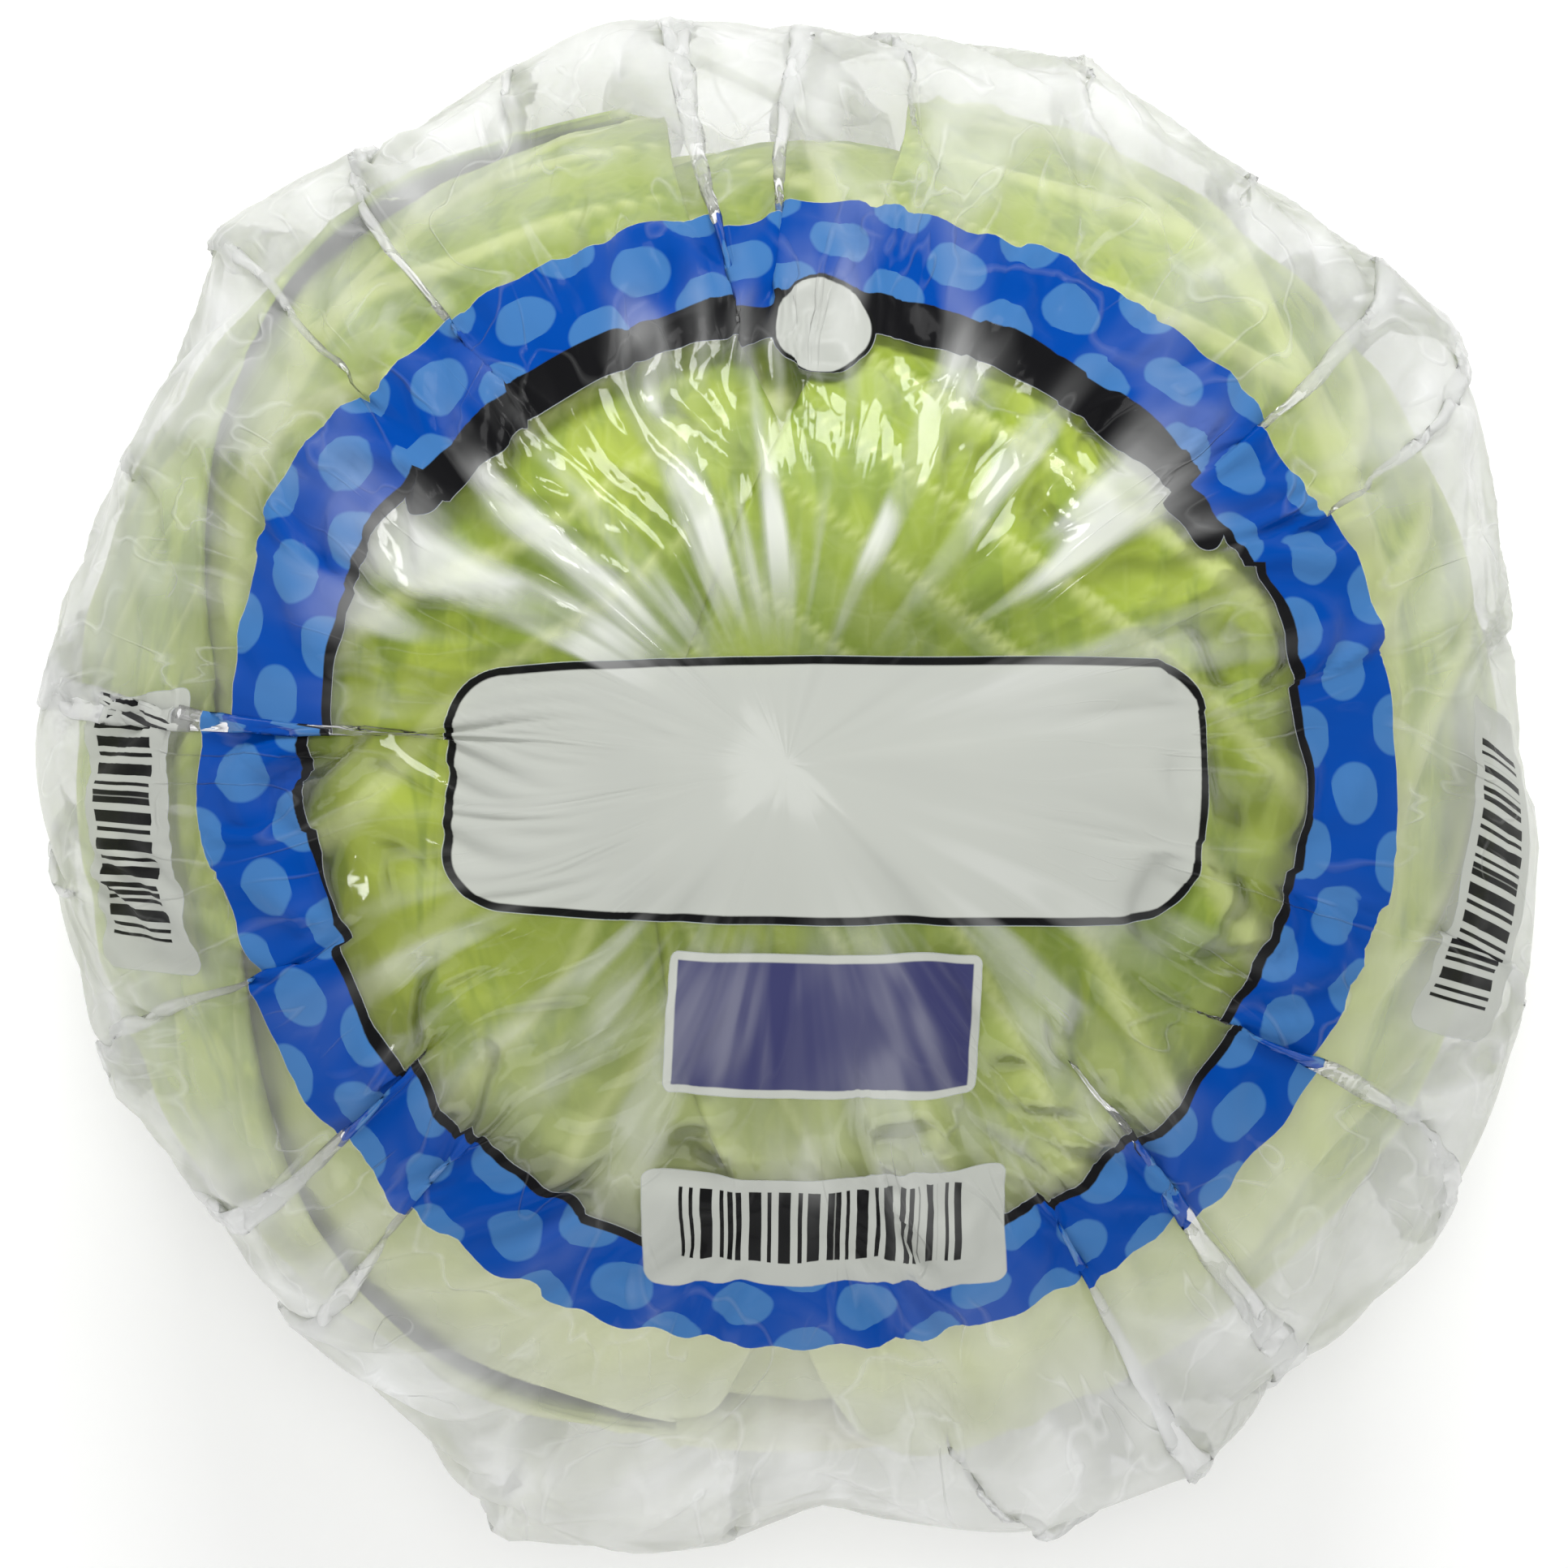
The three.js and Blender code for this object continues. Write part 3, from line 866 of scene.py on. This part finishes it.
def film_envelope():
    """(across, height) of the film's outside: by degrees about the head and by millimetres from its top."""
    turn = np.arange(0, 360)
    polar = np.radians(np.linspace(0, 180, 721))[:, None]
    direction = direction_at(polar, np.radians(turn))
    degrees = np.degrees(polar)
    points = HEAD_CENTRE + direction * (head_reach(direction) + FILM_GAP + LAYERS_GAP)[..., None]
    across = np.hypot(points[..., 0], points[..., 1])
    flare = smoothstep(degrees, *FLARE_STARTS) * (1 - smoothstep(degrees, *FLARE_ENDS))
    across = across + flare * np.maximum(0, film_reach(turn) - across)
    height = np.maximum(points[..., 2], FLOOR_GAP)
    steps = np.hypot(np.diff(across, axis=0, prepend=0), np.diff(height, axis=0, prepend=height[:1]))
    length = np.cumsum(steps, 0)
    wanted = np.arange(0, FILM_RADIUS + 8)
    table = np.zeros((len(wanted), len(turn), 2))
    for j in range(len(turn)):
        table[:, j, 0] = np.interp(wanted, length[:, j], across[:, j])
        table[:, j, 1] = np.interp(wanted, length[:, j], height[:, j])
    return table


def outer_reach_map():
    """Distance from the head's middle to the film's outside, by degrees from +Z and of turn."""
    table = film_envelope()
    reach = np.zeros((181, 360))
    for j in range(360):
        across, height = table[:, j, 0], table[:, j, 1] - HEAD_CENTRE[2]
        polar = np.degrees(np.arctan2(across, height))
        reach[:, j] = np.interp(np.arange(181), polar, np.hypot(across, height))
    return reach + OUTER_SLACK


def look_up(table, row, turn):
    """Values of a table between its rows and between its whole degrees."""
    row = np.clip(row, 0, len(table) - 1.001)
    turn = turn % 360
    i, j = row.astype(int), turn.astype(int) % 360
    a, b = (row - i)[..., None], (turn - np.floor(turn))[..., None]
    after = (j + 1) % 360
    return (table[i, j] * (1 - b) + table[i, after] * b) * (1 - a) + (
        table[i + 1, j] * (1 - b) + table[i + 1, after] * b
    ) * a


def smooth_random(random, count, passes):
    """A closed row of smooth random numbers of about unit size."""
    noise = random.normal(0, 1, count)
    for _ in range(passes):
        noise = (np.roll(noise, 1) + 2 * noise + np.roll(noise, -1)) / 4
    return noise / noise.std()


def turn_to_nearest(turn, places):
    return np.abs((turn[:, None] - places + 0.5) % 1 - 0.5).min(1)


def column_turns(where):
    """Turns on the flat film of its columns of points, which lie closer together where the folds are."""
    fine = np.arange(0, 1, 1 / TURN_SAMPLES)
    dense = np.cumsum(1 + FOLD_DENSITY * ridge(turn_to_nearest(fine, where), FOLD_DENSE_WITHIN))
    return np.interp(np.arange(FILM_COLUMNS) / FILM_COLUMNS, dense / dense[-1], fine)


def ring_lengths(table, radius):
    """(length of the film round each row, room for it there)."""
    across = look_up(table, np.repeat(radius[:, None], 360, 1), np.arange(360.0)[None])[..., 0]
    room = math.tau * across.mean(1)
    ring = np.minimum(math.tau * radius, MOST_GATHERED * room)
    ring = np.maximum(ring, room)
    ring[0] = room[0] = 1e-6
    return ring, room


def fold_widths(radius, where, width, start, spare):
    """Turns in each fold's middle layer: its share of a row's spare turns, evened out under the head."""
    growing = width * smoothstep(radius[:, None], start, start + FOLD_GROWTH) + 1e-6
    growing = growing / growing.sum(1, keepdims=True)
    even = smoothstep(radius[:, None], *EVEN_FOLDS_START)
    beside = (np.roll(where, -1) - np.roll(where, 1)) % 1 / 2
    return (growing * (1 - even) + beside * even) * (spare / 2)[:, None]


def fold_lift(radius, ring, flat_turn, centre, folded, begin, passed):
    """How far up a fold's layers points lie: the film rises as it runs back, and sinks again beyond."""
    rise = passed / (folded[:, None, :] + TINY)
    beyond = (flat_turn[None, :, None] - begin - folded[:, None, :]) % 1
    between = (np.roll(centre, -1, 1) - centre) % 1
    gap_after = (between - (folded + np.roll(folded, -1, 1)) / 2)[:, None, :]
    sink_length = (SINK_LENGTH / ring)[:, None, None] + smoothstep(radius, *LONG_SINK_START)[:, None, None]
    sink = np.clip(1 - beyond / np.minimum(gap_after, sink_length), 0, 1) * (rise >= 1)
    return np.maximum(np.where((rise > 0) & (rise < 1), rise, 0), sink).max(-1)


def film_slide(random, radius, where, flat_turn):
    """How far the film has slid outwards, panel by panel between the folds."""
    # One draw more than there are panels, which keeps the later draws in their places
    slide = random.uniform(-MOST_SLIDE, MOST_SLIDE, len(where) + 1)[:-1]
    panel = np.searchsorted(where, flat_turn) % len(where)
    back = (flat_turn - where[panel - 1]) % 1 / ((where[panel] - where[panel - 1]) % 1)
    slid = slide[panel] * (1 - back) + np.roll(slide, SLIDE_OFFSET)[panel] * back
    slid = slid + SLIDE_ROUGHNESS * smooth_random(random, FILM_COLUMNS, SLIDE_SMOOTHING)
    slid = slid - FOLD_DRAW * ridge(turn_to_nearest(flat_turn, where), FOLD_DRAW_WITHIN)
    return slid * smoothstep(radius, *LOOSENS)[:, None] * (1 - smoothstep(radius, *SLIDE_ENDS))[:, None]


def lay_film(random):
    """The film over the head with its spare width in flat folds: its points, the lengths of its rings, its
    columns' turns on the flat film, and the folds' middles in each row."""
    table = film_envelope()
    radius = film_radii()
    where, width, start, _ = fold_columns()
    flat_turn = column_turns(where)
    ring, room = ring_lengths(table, radius)
    folded = fold_widths(radius, where, width, start, 1 - room / ring)
    lean = random.uniform(-MOST_LEAN, MOST_LEAN, len(where))
    bow = random.uniform(-MOST_BOW, MOST_BOW, len(where))
    middle, reach = LEAN_OVER
    leaning = ((radius - middle) / reach)[:, None].clip(-1, 1)
    centre = where + lean * leaning + bow * np.sin(radius / BOW_LENGTH)[:, None]

    # Round a row, the film runs back over each fold's middle layer and on again
    begin = (centre - folded / 2)[:, None, :]
    passed = np.clip(flat_turn[None, :, None] - begin, 0, folded[:, None, :])
    turn = (ring / room)[:, None] * (flat_turn[None] - 2 * passed.sum(-1))
    turn = turn - (turn - flat_turn).mean(1, keepdims=True)
    lift = fold_lift(radius, ring, flat_turn, centre, folded, begin, passed)
    slid = film_slide(random, radius, where, flat_turn)

    across, height = np.moveaxis(look_up(table, radius[:, None] + slid, 360 * turn), -1, 0)
    angle = math.tau * turn
    points = np.stack([across * np.cos(angle), across * np.sin(angle), height], -1)
    inward = HEAD_CENTRE - points
    inward = inward / (np.linalg.norm(inward, axis=-1, keepdims=True) + TINY)
    thick = np.interp(radius, *zip(*LAYERS_THICKNESS))
    lowest = LAYERS_GAP - LAYERS_GAP * smoothstep(radius, *LAYERS_START) + thick
    points = points + inward * lowest[:, None, None]
    points = points - inward * (thick[:, None] * lift)[..., None]
    points[..., 1] += MOUTH_Y * (1 - smoothstep(across, *MOUTH_REACH)) * (radius > FILM_RADIUS / 2)[:, None]
    points[..., 2] = np.maximum(points[..., 2], FLOOR_GAP)
    return points, ring, flat_turn, centre


def correction(a, b, rest, stiffness, only_push=False):
    """How far each end of the edges from a to b moves to bring them to their rest length."""
    edge = b - a
    length = np.sqrt((edge * edge).sum(-1)) + TINY
    share = (length - rest) / length
    if only_push:
        share = np.minimum(share, 0)
    return edge * (share * stiffness)[..., None]


def keep_lengths(points, around, outwards, slantwise, bending):
    """One round of corrections: along the rows, outwards, both ways slantwise, and against sharp bends."""
    move = correction(points, np.roll(points, -1, 1), around, STRETCH_TAKEN)
    points = points + move - np.roll(move, 1, 1)
    move = correction(points[:-1], points[1:], outwards, STRETCH_TAKEN)
    points[:-1] += move
    points[1:] -= move
    for way, rest in zip((-1, 1), slantwise):
        move = correction(points[:-1], np.roll(points[1:], way, 1), rest, SLANT_TAKEN)
        points[:-1] += move
        points[1:] -= np.roll(move, -way, 1)
    two_around = BEND_AROUND * (around + np.roll(around, -1, 1))
    move = correction(points, np.roll(points, -2, 1), two_around, bending, only_push=True)
    points = points + move - np.roll(move, 2, 1)
    two_outwards = BEND_OUTWARDS * (outwards[1:] + outwards[:-1])
    move = correction(points[:-2], points[2:], two_outwards, BEND_OUTWARDS_TAKEN, only_push=True)
    points[:-2] += move
    points[2:] -= move
    return points


def keep_between(points, height_map, outer_map):
    """Brings points off the leaves and the table, and inside the film's outside."""
    from_centre = points - HEAD_CENTRE
    distance = np.sqrt((from_centre**2).sum(-1)) + TINY
    direction = from_centre / distance[..., None]
    polar = np.degrees(np.arccos(np.clip(direction[..., 2], -1, 1)))
    turn = np.degrees(np.arctan2(direction[..., 1], direction[..., 0])) % 360
    cell = np.rint(polar).astype(int), np.rint(turn).astype(int) % 360
    lowest = head_reach(direction) + look_up(height_map[..., None], polar, turn)[..., 0] + FILM_GAP
    kept = np.minimum(np.maximum(distance, lowest), np.maximum(outer_map[cell], lowest))
    points = points + direction * (kept - distance)[..., None]
    points[..., 2] = np.maximum(points[..., 2], FLOOR_GAP)
    return points


def settle(points, ring, flat_turn, height_map, outer_map):
    """Lets the laid film crinkle, while it keeps its flat lengths and stays between head and outside."""
    radius = film_radii()
    row_step = FILM_RADIUS / FILM_ROWS
    around = ring[:, None] * ((np.roll(flat_turn, -1) - flat_turn) % 1)[None]
    outwards = np.linalg.norm(points[1:] - points[:-1], axis=-1)
    outwards = np.clip(outwards, (1 - MOST_ROW_STRETCH) * row_step, (1 + MOST_ROW_STRETCH) * row_step)
    mean_around = (around[1:] + around[:-1]) / 2
    slantwise = [np.hypot(mean_around, outwards), np.hypot(np.roll(mean_around, 1, 1), outwards)]
    bending = BEND_AROUND_TAKEN * (1 - SOFTER_UNDER * smoothstep(radius, *SOFTER_START))[:, None]
    mouth = points[-1].copy()
    last = points.copy()
    for _ in range(SETTLING_STEPS):
        points, last = points + (points - last) * SETTLING_DRAG, points
        points = keep_lengths(points, around, outwards, slantwise, bending)
        points = keep_between(points, height_map, outer_map)
        points[0] = points[0].mean(0)
        points[-1] = mouth
    return points


def crinkled(points, random):
    """The laid film's points, moved a little in and out."""
    crinkle = random.normal(0, 1, points.shape[:2])
    for _ in range(CRINKLE_SMOOTHING):
        crinkle = (np.roll(crinkle, 1, 0) + crinkle + np.roll(crinkle, -1, 0)) / 3
    crinkle = (np.roll(crinkle, 1, 1) + 2 * crinkle + np.roll(crinkle, -1, 1)) / 4
    crinkle /= crinkle.std()
    outward = points - HEAD_CENTRE
    outward = outward / (np.linalg.norm(outward, axis=-1, keepdims=True) + TINY)
    loose = smoothstep(film_radii()[:, None], *LOOSENS)
    points = points + outward * (crinkle * CRINKLE_HEIGHT * loose)[..., None]
    points[..., 2] = np.maximum(points[..., 2], FLOOR_GAP)
    return points


def print_shift(flat_turn, centre):
    """How far the print lies outwards of its place: it steps at a fold and comes back by the next."""
    steps = fold_columns()[3]
    since = (flat_turn[None, :, None] - centre[:, None, :]) % 1
    last = since.argmin(-1)
    row = np.arange(len(centre))[:, None]
    room = (np.roll(centre, -1, 1) - centre) % 1
    back = since.min(-1) / room[row, last]
    ahead = np.roll(steps, -1)[last] / 2
    shift = steps[last] / 2 * (1 - back) - ahead * back
    return shift * smoothstep(film_radii(), *STEPS_START)[:, None]


def fold_film():
    """The film's points, rows outwards from the top and columns anticlockwise from above; their turns on
    the flat film; and how far the print is shifted outwards at them."""
    random = np.random.default_rng(7)
    height_map = head_height_map([make_leaf_plan(number) for number in range(1, LEAF_COUNT + 1)])
    points, ring, flat_turn, centre = lay_film(random)
    settled = settle(crinkled(points, random), ring, flat_turn, height_map, outer_reach_map())
    return settled, flat_turn, print_shift(flat_turn, centre)


def film_milk(radius, turn):
    """How milky the film is: clear where it is tight over the top, whiter and patchy where it is loose."""
    random = np.random.default_rng(11)
    patchy = np.array([smooth_random(random, len(turn[0]), MILK_SMOOTHING) for _ in MILK_PATCH_RADII])
    layer = np.interp(radius[:, 0], MILK_PATCH_RADII, range(len(MILK_PATCH_RADII)))
    low = layer.astype(int).clip(0, len(MILK_PATCH_RADII) - 2)
    share = (layer - low)[:, None]
    mottle = patchy[low] * (1 - share) + patchy[low + 1] * share
    nearer_foot = 0.5 - 0.5 * np.sin(turn)
    hazy = np.interp(radius, *zip(*MILK))
    return np.clip(hazy * (1 + MILK_VARIES * nearer_foot + MILK_VARIES * mottle), *MILK_RANGE)


def make_film(material):
    """The film as one open sheet, with its places on the flat film as UV map."""
    points, flat_turn, shift = fold_film()
    radius = film_radii()[:, None]
    turn = flat_turn[None] * math.tau
    printed = radius - shift
    flat = np.stack([printed * np.cos(turn), printed * np.sin(turn)], -1) / (2 * FILM_RADIUS) + 0.5
    shell = np.concatenate([[points[0].mean(0)], points[1:].reshape(-1, 3)])
    flat = np.concatenate([[[0.5, 0.5]], flat[1:].reshape(-1, 2)])
    faces = grid_faces(FILM_ROWS, FILM_COLUMNS, 1, True, True).tolist()
    faces += [[0, 1 + j, 1 + (j + 1) % FILM_COLUMNS] for j in range(FILM_COLUMNS)]
    milk = film_milk(radius, turn)
    values = {"milk": np.concatenate([[milk[0].mean()], milk[1:].ravel()])}
    film = make_mesh("film", shell, faces, material, values, flat)
    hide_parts("film_wrap")


# Stage


def make_floor():
    surface = Surface("pale_floor")
    tone = surface.noise(surface.object_place(), scale=3, detail=2)
    surface.link(surface.blend(tone * 0.2, *FLOOR_TONES), "Base Color")
    surface.shader.inputs["Roughness"].default_value = 0.8
    corners = [(x * FLOOR_HALF, y * FLOOR_HALF, 0) for x, y in ((-1, -1), (1, -1), (1, 1), (-1, 1))]
    mesh = bpy.data.meshes.new("floor")
    mesh.from_pydata(corners, [], [(0, 1, 2, 3)])
    mesh.materials.append(surface.material)
    floor = bpy.data.objects.new("floor", mesh)
    bpy.context.scene.collection.objects.link(floor)


def make_light(name, place, size, power):
    """A soft rectangular light, aimed at the middle of the head."""
    light = bpy.data.lights.new(name, "AREA")
    light.shape = "RECTANGLE"
    light.size, light.size_y = size
    light.energy = power
    lamp = bpy.data.objects.new(name, light)
    bpy.context.scene.collection.objects.link(lamp)
    lamp.location = Vector(place)
    lamp.rotation_euler = (Vector(HEAD_CENTRE * METRES) - Vector(place)).to_track_quat("-Z", "Y").to_euler()


def make_stage():
    """The floor, the lights and an even white sky."""
    make_floor()
    for name, settings in LIGHTS.items():
        make_light(name, *settings)
    world = bpy.data.worlds.new("studio")
    world.use_nodes = True
    sky = world.node_tree.nodes["Background"].inputs
    sky["Color"].default_value = (1, 1, 1, 1)
    sky["Strength"].default_value = SKY_STRENGTH
    bpy.context.scene.world = world
    bpy.context.scene.view_settings.view_transform = "Standard"


def make_camera():
    camera = bpy.data.cameras.new("camera")
    camera.sensor_width = SENSOR
    camera.lens = SENSOR * CAMERA_HEIGHT / FRAME_WIDTH
    seat = bpy.data.objects.new("camera", camera)
    bpy.context.scene.collection.objects.link(seat)
    seat.location = Vector((*CAMERA_OVER, HEAD_CENTRE[2] + CAMERA_HEIGHT)) * METRES
    bpy.context.scene.camera = seat


make_camera()
make_stage()
leaf_material = make_leaf_material("leaf", LEAF_GREEN, LEAF_PALE)
heart_material = make_leaf_material("inner_leaf", LEAF_PALE, LEAF_FOOT)
for leaf_number in range(1, LEAF_COUNT + 1):
    make_leaf(leaf_number, leaf_material)
make_heart(heart_material)
make_stem(make_stem_material())
make_film(make_film_material())
